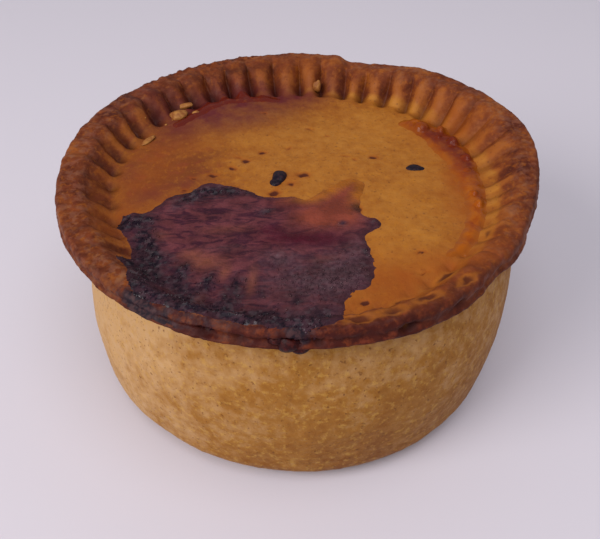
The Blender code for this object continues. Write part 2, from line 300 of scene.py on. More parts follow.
def relief_nodes():
    """The relief of hand-worked, baked pastry, pushed out along the surface.

    It has thumb-wide swells, the crumb's own grain, and crags where the edge is torn. "worked" and
    "craggy" on the mesh say how much of them each point takes.
    """
    tree, given = shaping_tree("pastry_relief", (
        "Swell Size", "Swell Depth", "Grain Size", "Grain Depth", "Crag Size", "Crag Depth"))
    place = put(tree, "GeometryNodeInputPosition")[0]
    along = put(tree, "GeometryNodeInputNormal")[0]
    heights = []
    for layer, detail, mask in (("Swell", 2.0, "worked"), ("Grain", 3.0, "worked"), ("Crag", 4.0, "craggy")):
        scale = maths("DIVIDE", 1.0, given[layer + " Size"])
        feeds = {"Vector": place, "W": given["Seed"], "Scale": scale, "Detail": detail, "Roughness": 0.5}
        grain = work_out("ShaderNodeTexNoise", feeds, noise_dimensions="4D")
        depth = times(given[layer + " Depth"], 4.0)
        share = put(tree, "GeometryNodeInputNamedAttribute", {"Name": mask}, data_type="FLOAT")[0]
        heights.append(times(times(minus(grain, 0.5), share), depth))
    height = plus(plus(heights[0], heights[1]), heights[2])
    push = work_out("ShaderNodeVectorMath", {0: along, "Scale": height}, operation="SCALE")
    moved = work_out("GeometryNodeSetPosition", {"Geometry": given["Geometry"], "Offset": push})
    return finish_shaping(tree, given, moved)


def set_by_nodes(thing, tree, **values):
    """Runs a node tree on a piece, with its inputs set by name, and keeps the plain mesh it makes."""
    modifier = thing.modifiers.new(tree.name, "NODES")
    modifier.node_group = tree
    for socket in tree.interface.items_tree:
        key = socket.name.replace(" ", "_").lower()
        if key in values:
            modifier[socket.identifier] = values[key]
    graph = bpy.context.evaluated_depsgraph_get()
    made = bpy.data.meshes.new_from_object(thing.evaluated_get(graph))
    thing.modifiers.remove(modifier)
    old, thing.data = thing.data, made
    bpy.data.meshes.remove(old)
    made.name = thing.name
    made.shade_smooth()


def baked_pastry():
    """Dough that bakes from pale gold to brown, in blotches a few millimetres wide.

    It has finer mottling, small pale spots where fat came out, dark pinpricks and a painted sheen.
    """
    inputs = {"Vector": "Vector", "Pale": "Color", "Golden": "Color", "Brown": "Color",
              "Toast": "Float", "Mottle": "Float", "Flecks": "Float", "Bloom": "Float"}
    outputs = {"Colour": "Color", "Roughness": "Float", "Height": "Float"}
    tree, given = new_tree("ShaderNodeTree", "baked_pastry", inputs, outputs)
    where = given["Vector"]
    blotch = noise(where, 9.0 * MM, 3.0)
    fine = noise(where, 2.2 * MM, 3.0, 0.6)
    crumb = noise(where, 0.8 * MM, 2.0)
    uneven = plus(minus(blotch, 0.5), times(minus(fine, 0.5), 0.8))
    baked = plus(given["Toast"], times(uneven, given["Mottle"]))
    colour = blend(spread(baked, 0.0, 0.5, kind="LINEAR"), given["Pale"], given["Golden"])
    colour = blend(spread(baked, 0.5, 1.0, kind="LINEAR"), colour, given["Brown"])
    fatty = spread(noise(where, 1.3 * MM, 3.0, 0.6), 0.52, 0.68)
    yellow = blend(1.0, given["Pale"], (1.05, 1.0, 0.5, 1.0), "MULTIPLY")
    colour = blend(times(fatty, given["Flecks"]), colour, yellow)
    pricks = times(spread(crumb, 0.6, 0.74), plus(given["Flecks"], 0.25))
    colour = blend(pricks, colour, PRICK_BROWN)
    # Painted sheen: lavender-grey patches laid into the colour where light would glint on the greasy crust.
    sheen_spots = spread(noise(where, 1.9 * MM, 3.0, 0.65), 0.46, 0.66)
    painted_sheen = blend(1.0, blend(0.5, colour, given["Golden"]), (1.15, 1.7, 4.2, 1.0), "MULTIPLY")
    colour = blend(times(sheen_spots, given["Bloom"], clamp=True), colour, painted_sheen)
    rough = spread(fine, 0.3, 0.7, 0.5, 0.68)
    height = plus(times(fine, 0.6), times(crumb, 0.4))
    put(tree, "NodeGroupOutput", {"Colour": colour, "Roughness": rough, "Height": height})
    return tree


def new_material(name, **constants):
    """A material with its shader, whose constant values are set straight on its sockets."""
    material = bpy.data.materials.new(name)
    material.use_nodes = True
    tree = material.node_tree
    shader = tree.nodes["Principled BSDF"]
    for socket, value in constants.items():
        shader.inputs[socket.replace("_", " ")].default_value = value
    return material, shader, put(tree, "ShaderNodeTexCoord")["Object"]


def finish_shader(shader, colour, height, depth, roughness=None):
    """Feeds the shader, with height as bump of that depth in metres."""
    tree = shader.id_data
    tree.links.new(colour, shader.inputs["Base Color"])
    if roughness is not None:
        tree.links.new(roughness, shader.inputs["Roughness"])
    bump = work_out("ShaderNodeBump", {"Height": height, "Distance": depth, "Strength": 1.0})
    tree.links.new(bump, shader.inputs["Normal"])


def bake(place, **values):
    """Gives a material the effect of baked pastry, with its own colours and values."""
    return put(place.id_data, "ShaderNodeGroup", {"Vector": place, **values}, node_tree=BAKED_PASTRY)


def case_material():
    material, shader, place = new_material("baked_case", Metallic=0.0, Specular_IOR_Level=0.14)
    right = spread(along_axis(place, "X"), -45.0 * MM, -5.0 * MM, -0.1, 0.4)
    low = spread(along_axis(place, "Z"), 45.0 * MM, 5.0 * MM, -0.1, 0.17, kind="LINEAR")
    # The wall takes a little painted sheen, lavender-grey patches that stand in for highlights.
    pastry = bake(place, Pale=PALE_WALL, Golden=GOLDEN_WALL, Brown=BROWN_WALL,
                  Toast=plus(plus(right, low), 0.1), Mottle=0.85, Flecks=0.45, Bloom=0.1)
    finish_shader(shader, pastry["Colour"], pastry["Height"], 0.25 * MM, pastry["Roughness"])
    return material


BAKED_PASTRY = baked_pastry()
RELIEF = relief_nodes()
set_by_nodes(case, RELIEF, material=case_material(), swell_size=11.0 * MM, swell_depth=0.22 * MM,
             grain_size=1.9 * MM, grain_depth=0.07 * MM, crag_size=2.2 * MM, crag_depth=0.35 * MM, seed=3.0)
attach(case, "root")
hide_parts("raised_pie")

# ---- The lid and its crimped rim -------------------------------------------------------------
# Rolled pastry laid on the filling and pinched to the case all round. The pinches leave fat ribs
# with narrow grooves between them. At the back left they tore the lid's edge from the case's, and
# at the front left they run on over the lid.
RIM_RADIUS = 55.2 * MM
RIM_OUTLINE = ((1, 1.53 * MM, 123), (3, 1.08 * MM, 18), (4, 0.65 * MM, 15), (5, 0.5 * MM, 20))
# Where a pinch pulled the rim out or pushed it in, as (angle, width, size)
RIM_PINCHES = ((-44, 6, -0.8 * MM), (-32, 6, 0.5 * MM), (15, 8, 0.35 * MM), (49, 8, 0.45 * MM),
               (200, 16, 0.6 * MM))
LEDGE_WIDTH = 5.1 * MM
LEDGE_OUTLINE = ((1, 0.9 * MM, 124), (2, 0.38 * MM, 0))
FACE_LEVELS = 0.22, 0.49, 0.76
FACE_SLANT, FACE_SLANT_AT = 1.4 * MM, (-113, 20)
CREASE_DEPTH = 0.9 * MM
EDGE_SWELL = 0.3 * MM
OPEN_EDGE = (-98, 28)
# Hollows in the crease round the rim's face, as (angle, width, depth)
HOLLOWS = ((-110, 1.9, 1.5 * MM), (-102, 1.1, 0.7 * MM), (-94, 2.3, 1.6 * MM), (-87.5, 1.0, 0.9 * MM),
           (-69, 2.2, 1.2 * MM), (-57, 1.6, 0.8 * MM))
CRIMPS = 47
FIRST_GROOVE = 90.3
GROOVE_WANDER = 0.7
CRIMP_LEAN = 2.0
CRIMP_SEED = 11
COLUMNS_A_CRIMP = 16
RIB_DEPTH = 1.45 * MM
RIB_OUTLINE = ((1, 1.15 * MM, 105), (2, 0.35 * MM, 105))
RIB_FULLNESS = 0.85
RIB_BOLDNESS = (0.75, 1.1)
MEAN_RIB = 0.5
KNUCKLE_SHARPNESS = 1.6
MEAN_KNUCKLE = 0.42
FOOT_WANDER = 1.3
POCKET_DEPTH = 1.2 * MM
TEAR_DEPTH = 0.7 * MM
RIB_TOE = 2.4 * MM
LONG_RIBS_AT, LONG_RIBS_REACH = (242.0, 20.0), 4.0 * MM
STEPS_A_STRETCH = 4
LID_CROWN = 0.4 * MM
# Slow swells of the lid, as (size, radians a metre across and along, start)
LID_SWELLS = ((0.3 * MM, 130.0, 110.0, 0.8), (0.18 * MM, -170.0, 230.0, 0.0))
LID_THICKNESS = 3.0 * MM
LID_SPAN = 42.0 * MM
RING_SPACING = 0.5 * MM
# Patches of colour or relief are soft ovals in millimetres, seen from above, and each is given as
# (x, y, half-length, half-width, turn in degrees, strength).
TOASTED = (
    (-46, -8, 14, 40, 0, 0.35), (10, -54, 40, 7, 10, 0.35), (-32, 6, 14, 24, 0, 0.45),
    (-6, 38, 30, 8, 0, 0.3), (-22, -2, 12, 10, 0, 0.25), (-38, -22, 8, 16, 20, 0.15),
    (12, -38, 22, 7, 15, 0.15), (26, -43, 15, 5, 32, 0.3), (52, 6, 8, 40, 0, 0.3),
    (36, 38, 22, 7, -45, 0.25), (45, -31, 7, 16, -40, 0.5), (20, -50, 20, 5, 18, 0.5),
    (-4, 50, 30, 6, 0, 0.35), (-36, 38, 20, 7, 45, 0.5), (-30, 20, 3, 6, 30, 0.3),
    (-24, 8, 8, 2, 20, 0.3), (-10, 24, 10, 3, 10, 0.2), (-33, 12, 6, 4, 30, 0.3),
    (-27, 3, 6, 2.4, 5, 0.3), (-36, -4, 5, 4, 0, 0.3))
ORANGE = (
    (-36, 0, 9, 14, 0, 0.55), (-30, 16, 8, 8, 0, 0.3), (38, -2, 5, 22, -4, 0.9), (36, 20, 6, 9, 35, 0.8),
    (20, -36, 16, 5, 25, 0.5), (14, -34, 8, 9, 0, 0.35), (-40, -18, 5, 7, 0, 0.5), (-30, 42, 16, 8, 40, 0.25),
    (0, 50, 18, 5, 0, 0.25), (-4, -1, 4, 3.4, 0, 0.4), (14, -46, 12, 4, 12, 0.5), (30, -36, 9, 5, 40, 0.45))
WINE = (
    (-14, 31, 15, 6.5, 15, 0.72), (-24, 33, 11, 5, 35, 1), (-5, 40, 12, 4, 0, 0.9), (-34, 20, 6, 5, 50, 0.3),
    (-20, 24, 12, 6, 20, 0.3), (-36, 30, 4, 8, 40, 0.3), (-35, -6.5, 5, 2.6, 30, 0.45),
    (-27, -1.2, 4.5, 1.8, 15, 0.35), (-40.5, 3, 2.6, 5, 0, 0.35))
# Where burnt gravy reached over the rim
OVER_RIM = ((-30, -46.8, 3, 1.8, -35, 0.8), (-25, -50, 2.4, 1, -30, 0.5), (-1.2, -54.4, 2.2, 1.4, 0, 0.7),
            (-32.4, -43.6, 1.6, 2, 0, 0.4))
# Pricked and burst spots in the lid
PIT_DEPTH = 0.45 * MM
PITS = (
    (0.5, 0.5, 1.3, 0.9, 0, 1), (-2.3, -3, 0.9, 0.8, 30, 0.8), (-6.2, -6.4, 1.3, 1.1, 0, 0.9),
    (12.3, -13.1, 1.1, 1.7, 15, 0.9), (9, -18.2, 1.1, 0.8, 0, 1), (-20.9, 1.7, 1.5, 0.6, 0, 0.9),
    (-25.3, 0.6, 0.8, 0.5, 0, 0.7), (-16.5, 4.4, 0.8, 0.8, 0, 1), (-13.3, 7.3, 0.8, 0.8, 0, 1),
    (-15.5, 8.8, 1.4, 0.35, -20, 0.5), (-9.5, 10.9, 0.9, 0.6, 20, 1), (-2.8, 12.9, 1, 0.5, 40, 0.5),
    (11.9, -42.5, 0.7, 0.7, 0, 1), (2.6, 22.7, 1.1, 0.5, 0, 0.6), (6.9, 18.9, 0.7, 0.4, 0, 0.5),
    (13.3, 7.3, 0.6, 0.4, 0, 0.5), (10.6, 8.7, 1.4, 0.35, 5, 0.5), (17.8, 8.6, 1, 0.6, 0, 0.9),
    (24.5, -28.6, 1, 0.5, 0, 0.9), (24.5, -34.6, 1.2, 0.5, 20, 0.6), (-9.6, 29.6, 1.2, 0.5, -20, 0.6),
    (-27, -4, 0.9, 0.5, 0, 0.7))
# Dents that a fingertip pressed in the rim's slope at the front right
DENT_DEPTH = 0.6 * MM
DENTS = (
    (9.5, -51.6, 2.8, 1.1, 6, 1), (16.3, -49.6, 2.6, 1.2, 14, 0.8), (19, -42.6, 2.2, 1, 18, 1),
    (22.9, -45.8, 2.6, 1.1, 26, 1), (28.3, -36.6, 2.8, 1.3, 38, 0.9), (13.4, -45.6, 1.8, 0.9, 10, 0.7),
    (34.6, -31.4, 2.4, 1, 48, 0.45), (24.6, -34.4, 1.3, 0.5, 20, 0.6), (31.4, -40.8, 2.4, 1, 40, 0.9),
    (39, -24, 2.2, 1, 60, 0.7))
LID_PALE = (0.37, 0.14, 0.018, 1.0)
LID_GOLDEN = (0.26, 0.079, 0.008, 1.0)
LID_BROWN = (0.14, 0.034, 0.007, 1.0)
RIM_PALE = (0.27, 0.076, 0.011, 1.0)
RIM_GOLDEN = (0.145, 0.03, 0.0055, 1.0)
RIM_BROWN = (0.06, 0.009, 0.003, 1.0)
FACE_CRUST = (0.125, 0.022, 0.006, 1.0)
FACE_RED = (0.041, 0.005, 0.004, 1.0)
TOAST_RED = (0.17, 0.03, 0.012, 1.0)
# Painted shade: near-black laid into the grooves, pockets, tears and hollows of the rim.
CREVICE_SHADE = (0.034, 0.0035, 0.002, 1.0)
CRACK_RED = (0.045, 0.005, 0.003, 1.0)
# Painted highlight round the rims of the fingertip dents.
DENT_HIGHLIGHT = (0.3, 0.09, 0.008, 1.0)
PIT_BROWN = (0.055, 0.009, 0.004, 1.0)
STAIN_ORANGE = (0.25, 0.055, 0.004, 1.0)
STAIN_WINE = (0.1, 0.014, 0.015, 1.0)
SOAKED_RED = (0.06, 0.005, 0.003, 1.0)
BURNT_BLACK = (0.009, 0.004, 0.009, 1.0)
SOOT_GREY = (0.05, 0.02, 0.022, 1.0)


def rim_radius(turn):
    pinched = sum(size * near(turn, angle, width) for angle, width, size in RIM_PINCHES)
    return RIM_RADIUS + wave(RIM_OUTLINE, turn) + pinched


def lid_height(radius, turn):
    """The lid settles towards a low crown, with the slow swells of dough over meat."""
    inwards = ease(1.0, 0.0, radius / lid_radius(turn))
    x, y = radius * np.cos(turn), radius * np.sin(turn)
    level = lid_edge_height(turn) * (1.0 - inwards) + (LID_HEIGHT + LID_CROWN) * inwards
    return level + sum(size * np.sin(across * x + start) * np.cos(along * y)
                       for size, across, along, start in LID_SWELLS)


def bell(value, middle, width):
    """1 at the middle, falling to 0 within about twice the width of it."""
    return math.exp(-(((value - middle) / width) ** 2))


def crimp_columns():
    """Turn, rib height, turn of the rib's foot and boldness of each column of the rim."""
    draw, bolder, bent = (random.Random(CRIMP_SEED + i) for i in range(3))
    pitch = 360.0 / CRIMPS
    grooves = [FIRST_GROOVE + pitch * i + draw.uniform(-GROOVE_WANDER, GROOVE_WANDER) for i in range(CRIMPS)]
    grooves.append(grooves[0] + 360.0)
    feet = [bent.uniform(-FOOT_WANDER, FOOT_WANDER) for _ in range(CRIMPS)]
    feet.append(feet[0])
    even = np.arange(COLUMNS_A_CRIMP) / COLUMNS_A_CRIMP
    share = even - np.sin(2.0 * math.pi * even) / (4.0 * math.pi)
    columns = []
    for i in range(CRIMPS):
        bold = np.full(COLUMNS_A_CRIMP, bolder.uniform(*RIB_BOLDNESS))
        columns.append((np.radians(grooves[i] + share * (grooves[i + 1] - grooves[i])),
                        np.sin(math.pi * share) ** RIB_FULLNESS * bold,
                        np.radians(feet[i] + share * (feet[i + 1] - feet[i])), bold))
    return (np.concatenate(values) for values in zip(*columns))


def rib_depth(turn):
    """The depth of the crimps, which are deepest at the back."""
    return RIB_DEPTH + wave(RIB_OUTLINE, turn)


def long_rib(turn):
    """The share of a crimp's relief that runs on over the lid."""
    return 0.06 + 0.8 * near(turn, *LONG_RIBS_AT)


def toe_radius(turn, foot):
    """Where the ribs end on the lid, from the radius at which they meet it."""
    return foot - RIB_TOE - LONG_RIBS_REACH * near(turn, *LONG_RIBS_AT)


def rim_points(turn, rib, bend):
    """The rim's section at each column, as (turn, radius, height), from under its lip to the lid."""
    lean = np.radians(-CRIMP_LEAN * np.cos(turn)) + bend
    relief = rib_depth(turn) * (rib - MEAN_RIB)
    knuckle = rib_depth(turn) * (rib ** KNUCKLE_SHARPNESS - MEAN_KNUCKLE)
    edge, top, head = rim_radius(turn), rim_height(turn), wall_top_radius(turn)
    lip, under = lip_height(turn), undercut(turn)
    crest = edge - LEDGE_WIDTH - wave(LEDGE_OUTLINE, turn)
    inner = turn + lean
    foot, floor = lid_radius(inner), lid_edge_height(inner)
    toe = toe_radius(turn, foot)
    crease = CREASE_DEPTH * (0.1 + 0.35 * near(turn, *OPEN_EDGE)) + sum(
        size * near(turn, angle, width) for angle, width, size in HOLLOWS)
    slant = FACE_SLANT * near(turn, *FACE_SLANT_AT)
    low, middle, high = (lip + share * (top - lip) for share in FACE_LEVELS)

    def point(turned, radius, height, outwards=0.0, upwards=0.0, relief=relief):
        place = turn + lean * turned, radius + relief * outwards, height + relief * upwards
        return np.stack(place, axis=-1)

    def slope(inwards, down):
        return crest + inwards * (foot - crest), top + down * (floor - top)

    return np.stack([
        point(0.0, head - 2.5 * MM, lip - under - 3.5 * MM),
        point(0.0, head - 0.9 * MM, lip - under - 1.6 * MM),
        point(0.0, head + EDGE_SWELL, lip - under),
        point(0.0, edge - 1.5 * MM, lip + 0.25 * MM - 0.35 * under),
        point(0.0, edge + EDGE_SWELL, low, 0.1),
        point(0.0, edge - 0.3 * slant - crease, middle),
        point(0.0, edge - 0.5 * slant, high, 0.1),
        point(0.0, edge - slant - 0.6 * MM, top + 0.1 * MM, 0.0, 0.08),
        point(0.1, 0.5 * (edge - slant + crest), top + 0.2 * MM, 0.0, 0.18),
        point(0.25, crest, top, -0.15, 0.33),
        point(0.5, *slope(0.34, 0.36), -0.7, 0.7),
        point(0.75, *slope(0.70, 0.80), -0.3, 0.85, knuckle),
        point(1.0, foot, floor, -0.3, 0.5, knuckle),
        point(1.0, toe, lid_height(toe, inner), 0.0, long_rib(turn)),
    ])


def catmull_rom(a, b, c, d, t):
    """A smooth curve that comes from a, goes from b to c as t goes from 0 to 1, and on to d."""
    return 0.5 * (2 * b + (c - a) * t + (2 * a - 5 * b + 4 * c - d) * t**2 + (3 * b - a - 3 * c + d) * t**3)


def smooth_through(points, steps):
    """Rings on a smooth curve through each column's points, and their places on it."""
    padded = np.concatenate([2 * points[:1] - points[1:2], points, 2 * points[-1:] - points[-2:-1]])
    return [(catmull_rom(*padded[i:i + 4], t), i + t)
            for i in range(len(points) - 1) for t in np.arange(steps) / steps]


turn, rib, bend, bold = crimp_columns()
in_groove = np.clip(1.12 - rib / 0.82, 0.0, 1.0) ** 1.15
pocketed = np.clip(rib_depth(turn) / (2.6 * MM), 0.25, 1.0)
torn = near(turn, 122.0, 20.0) * ease(0.85, 0.95, bold)
golden = np.clip(0.6 * near(turn, -22.0, 36.0) + 0.45 * near(turn, 45.0, 34.0), 0.0, 1.0)
ragged = np.clip(near(turn, -95.0, 42.0) + 0.6 * near(turn, 118.0, 26.0) + 0.25, 0.0, 1.0)
# How much painted sheen the rim takes round the pie, strongest at the front left: lavender-grey patches that
# stand in for highlights.
painted_sheen = 0.45 + 1.5 * near(turn, 207.0, 55.0) + 0.6 * near(turn, 15.0, 45.0)
hollow = sum(size / MM * near(turn, angle, width) for angle, width, size in HOLLOWS)
rings = [stand(turn[::4], 6.0 * MM, LID_HEIGHT - LID_THICKNESS),
         stand(turn[::4], 0.7 * lid_radius(turn[::4]), LID_HEIGHT - LID_THICKNESS),
         stand(turn[::2], lid_radius(turn[::2]) - 2.0 * MM, lid_edge_height(turn[::2]) - 4.0 * MM)]
masks = {name: [np.zeros(len(ring)) for ring in rings]
         for name in ("worked", "groove", "rim", "face", "crown", "craggy", "bloom", "soaked")}
# The place t counts the section's points from under the lip: 5 is halfway up the rim's face, 9 the
# crest of its slope and 12 the foot of the ribs.
for ring, t in smooth_through(rim_points(turn, rib, bend), STEPS_A_STRETCH):
    ring[:, 2] -= POCKET_DEPTH * bell(t, 11.8, 0.9) * in_groove * pocketed
    ring[:, 2] -= TEAR_DEPTH * bell(t, 9.3, 0.3) * torn * ease(0.3, 0.7, rib)
    rings.append(stand(*ring.T))
    pocket = ease(9.6, 11.4, t) * ease(13.2, 12.2, t) * pocketed
    stroke = 0.45 * ease(6.8, 8.2, t) * ease(10.8, 9.6, t) * ease(0.9, 1.05, bold)
    tear = bell(t, 9.35, 0.4) * torn
    start = 12.6 - 1.5 * golden - 1.9 * near(turn, -58.0, 30.0)
    on_rim = ease(start, start - 1.3 - 1.2 * golden, t)
    on_face = ease(7.8, 6.9, t) * near(turn, -92.0, 50.0)
    behind = 0.9 * ease(12.8, 11.4, t) * near(turn, 120.0, 26.0)
    values = {
        "worked": 1.0 + 1.4 * on_rim * (1.0 - 0.6 * ease(8.0, 6.5, t)),
        # Painted shade in the grooves between the ribs, their pockets, the tear at the back left and the
        # hollows of the crease.
        "groove": in_groove * (pocket + stroke) + tear + 1.3 * hollow * bell(t, 5.2, 1.2),
        "rim": on_rim,
        "face": on_face,
        # Painted highlight: the rib crowns between the crest and the foot are made paler.
        "crown": ease(9.0, 10.8, t) * ease(12.4, 11.4, t) * ease(0.6, 0.95, rib),
        "craggy": ragged * ease(3.2, 4.6, t) * (ease(8.4, 7.0, t) + behind),
        # Painted sheen on the rim's outer band, clear of its front face.
        "bloom": ease(10.4, 8.4, t) * ease(3.0, 5.0, t) * painted_sheen * ease(1.1, 0.5, on_face),
        "soaked": near(turn, 117.0, 20.0) * ease(10.4, 11.8, t) * np.clip(0.3 + in_groove, 0.0, 1.0)}
    for name, value in values.items():
        masks[name].append(value)
toe = toe_radius(turn, lid_radius(turn))
lid_steps = int(LID_SPAN / RING_SPACING)
for left in 1.0 - np.arange(lid_steps) / lid_steps:
    # The rings need fewer points towards the middle.
    keep = 1 if left > 0.68 else 2 if left > 0.34 else 4
    columns = turn[::keep]
    lean = np.radians(-CRIMP_LEAN * np.cos(columns)) + bend[::keep]
    along = columns + lean * ease(0.3, 0.9, left)
    relief = rib_depth(columns) * (rib[::keep] - MEAN_RIB) * long_rib(columns)
    height = lid_height(toe[::keep] * left, along) + relief * ease(0.8, 1.0, left)
    rings.append(stand(along, toe[::keep] * left, height))
    for name, values in masks.items():
        values.append(np.full(len(columns), 1.0 if name == "worked" else 0.0))
    masks["soaked"][-1] = near(columns, 117.0, 17.0) * ease(0.93, 1.0, left)
lid = weave("crimped_lid", rings, masks)


def patches(spots, x, y):
    """Soft oval patches laid over each other, at points given in millimetres."""
    total = np.zeros(x.shape)
    for at_x, at_y, long, wide, turned, strength in spots:
        swing = math.radians(turned)
        u = ((x - at_x) * math.cos(swing) + (y - at_y) * math.sin(swing)) / long
        v = ((y - at_y) * math.cos(swing) - (x - at_x) * math.sin(swing)) / wide
        total += strength * np.exp(-(u * u + v * v))
    return total


def ripples(x, y, size, seed, stretch=1.0):
    """Uneven ripples from about -1 to 1, about size across and stretch times as long along x."""
    draw = random.Random(seed)
    total = np.zeros(x.shape)
    for _ in range(9):
        swing, start = draw.uniform(0.0, math.pi), draw.uniform(0.0, 2.0 * math.pi)
        pace = 2.0 * math.pi / (size * draw.uniform(0.7, 1.6))
        total += np.sin(pace * (x * math.cos(swing) / stretch + y * math.sin(swing)) + start)
    return total / 4.5


def ragged_patches(spots, x, y, wander, size, seed):
    """Patches whose outline wanders by about so many millimetres, in ripples of that size."""
    return patches(spots, x + wander * ripples(x, y, size, seed), y + wander * ripples(x, y, size, seed + 1))


def points_of(mesh):
    """The points of a mesh, in metres."""
    points = np.empty(len(mesh.vertices) * 3)
    mesh.vertices.foreach_get("co", points)
    return points.reshape(-1, 3)


def read(place, name):
    """The number that the mesh keeps under a name for each place."""
    return put(place.id_data, "ShaderNodeAttribute", attribute_name=name, attribute_type="GEOMETRY")["Fac"]


def lid_material():
    material, shader, place = new_material("baked_lid", Metallic=0.0, Specular_IOR_Level=0.15)
    # The rib crowns are taken out of the toast to make them paler, a painted highlight.
    toast = minus(plus(read(place, "toast"), 0.22), times(read(place, "crown"), 0.75))
    # Painted sheen: lavender-grey patches that stand in for highlights, with a little on the whole lid.
    bloom = plus(read(place, "bloom"), 0.06)
    on_lid = bake(place, Pale=LID_PALE, Golden=LID_GOLDEN, Brown=LID_BROWN,
                  Toast=toast, Mottle=0.8, Flecks=0.35, Bloom=bloom)
    on_rim = bake(place, Pale=RIM_PALE, Golden=RIM_GOLDEN, Brown=RIM_BROWN,
                  Toast=plus(toast, 0.05), Mottle=1.9, Flecks=0.5, Bloom=bloom)
    wander = minus(noise(place, 5.0 * MM), 0.5)
    rim = spread(plus(read(place, "rim"), wander), 0.2, 0.8)
    colour = blend(rim, on_lid["Colour"], on_rim["Colour"])
    crusted = spread(noise(place, 1.7 * MM, 4.0, 0.65), 0.44, 0.7)
    crust = blend(crusted, FACE_RED, FACE_CRUST)
    colour = blend(times(read(place, "face"), 0.92, clamp=True), colour, crust)
    cracked = spread(noise(place, 2.0 * MM, 4.0, 0.6), 0.5, 0.41)
    colour = blend(times(cracked, read(place, "craggy"), clamp=True), colour, CRACK_RED)
    patchy = spread(noise(place, 3.2 * MM, 4.0, 0.6), 0.5, 0.68, 0.0, 0.8)
    colour = blend(times(patchy, read(place, "toast"), clamp=True), colour, TOAST_RED)
    uneven = spread(noise(place, 6.0 * MM, 4.0), 0.25, 0.75, 0.65, 1.35)
    # Real stains of gravy, then the painted shade of the rim's grooves and hollows at a fixed strength.
    for name, stain, strength in (("orange", STAIN_ORANGE, uneven), ("wine", STAIN_WINE, uneven),
                                  ("soaked", SOAKED_RED, uneven), ("groove", CREVICE_SHADE, 0.85)):
        colour = blend(times(read(place, name), strength, clamp=True), colour, stain)
    # The dents get a painted highlight round their rims and painted shade of the rim's brown in their
    # middles; the pits are burnt spots with an orange stain round them.
    for name, tone, low, high, strength in (
            ("dent", DENT_HIGHLIGHT, 0.04, 0.3, 0.55), ("dent", RIM_BROWN, 0.35, 0.8, 0.85),
            ("pit", STAIN_ORANGE, 0.02, 0.3, 0.5), ("pit", PIT_BROWN, 0.25, 0.7, 0.95)):
        colour = blend(spread(read(place, name), low, high, 0.0, strength), colour, tone)
    torn_edge = minus(noise(place, 2.4 * MM, 4.0, 0.65), 0.5)
    scorched = plus(read(place, "burnt"), times(torn_edge, 1.4))
    sooty = spread(noise(place, 1.2 * MM, 3.0), 0.42, 0.66)
    soot = blend(sooty, BURNT_BLACK, SOOT_GREY)
    colour = blend(spread(scorched, 0.3, 0.7), colour, soot)
    finish_shader(shader, colour, on_lid["Height"], 0.2 * MM, on_lid["Roughness"])
    return material


set_by_nodes(lid, RELIEF, material=lid_material(), swell_size=4.5 * MM, swell_depth=0.12 * MM,
             grain_size=1.3 * MM, grain_depth=0.06 * MM, crag_size=2.4 * MM, crag_depth=0.55 * MM, seed=8.0)
lid_points = points_of(lid.data)
lid_x, lid_y = lid_points[:, 0] / MM, lid_points[:, 1] / MM
shown = lid_points[:, 2] > 47.0 * MM
pit = shown * ragged_patches(PITS, lid_x, lid_y, 0.3, 2.0, 41)
dent = shown * ragged_patches(DENTS, lid_x, lid_y, 0.4, 3.0, 43)
lid_points[:, 2] -= PIT_DEPTH * pit + DENT_DEPTH * dent
lid.data.vertices.foreach_set("co", lid_points.ravel())
lid.data.update()
lid_turn = np.arctan2(lid_points[:, 1] - AXIS_Y, lid_points[:, 0] - AXIS_X)
from_edge = np.hypot(lid_points[:, 0] - AXIS_X, lid_points[:, 1] - AXIS_Y) - rim_radius(lid_turn)
scorch = near(lid_turn, -117.0, 33.0) * ease(-4.0 * MM, -2.0 * MM, from_edge) * (lid_points[:, 2] > 51.0 * MM)
over_rim = patches(OVER_RIM, lid_x, lid_y) * (lid_points[:, 2] > 50.2 * MM)
for mask, values in (("pit", np.clip(pit, 0.0, 1.0)), ("dent", np.clip(dent, 0.0, 1.0)),
                     ("burnt", over_rim + 0.42 * scorch), ("toast", patches(TOASTED, lid_x, lid_y)),
                     ("orange", np.clip(patches(ORANGE, lid_x, lid_y), 0.0, 1.0)),
                     ("wine", np.clip(patches(WINE, lid_x, lid_y), 0.0, 1.0))):
    mark(lid.data, mask, values)
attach(lid, "root")
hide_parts("raised_pie")

# ---- The burnt gravy -------------------------------------------------------------------------
# Gravy that boiled up through the steam hole, ran over the front left of the lid and its rim and
# burnt there to a thin skin. It is near black where it is thickest, blistered and grey on the
# right, and fades out to a stain where it first ran. All its places are in millimetres.
BURN_OUTLINE = (
    (-40.5, -17.0), (-38.7, -13.1), (-33.9, -12.0), (-30.0, -6.9), (-25.7, -4.9), (-22.5, -1.6),
    (-18.5, -2.3), (-13.0, -4.3), (-8.9, -7.5), (-2.5, -8.0), (1.3, -9.3), (4.8, -6.6), (9.1, -2.6),
    (12.0, -0.9), (14.8, -3.6), (13.2, -10.2), (13.4, -15.2), (16.6, -16.8), (16.9, -19.4),
    (13.6, -22.0), (13.8, -25.1), (14.5, -30.4), (14.3, -34.5), (12.8, -38.3), (9.6, -39.6),
    (7.8, -43.5), (7.4, -50.5), (4.6, -53.2), (0.1, -54.3), (-6.4, -54.2), (-10.6, -53.3),
    (-14.6, -51.8), (-19.8, -49.5), (-23.6, -48.2), (-26.8, -47.3), (-30.8, -44.8), (-33.9, -38.8),
    (-35.4, -33.0), (-37.8, -30.9), (-35.6, -28.2), (-36.8, -23.0), (-38.8, -19.1))
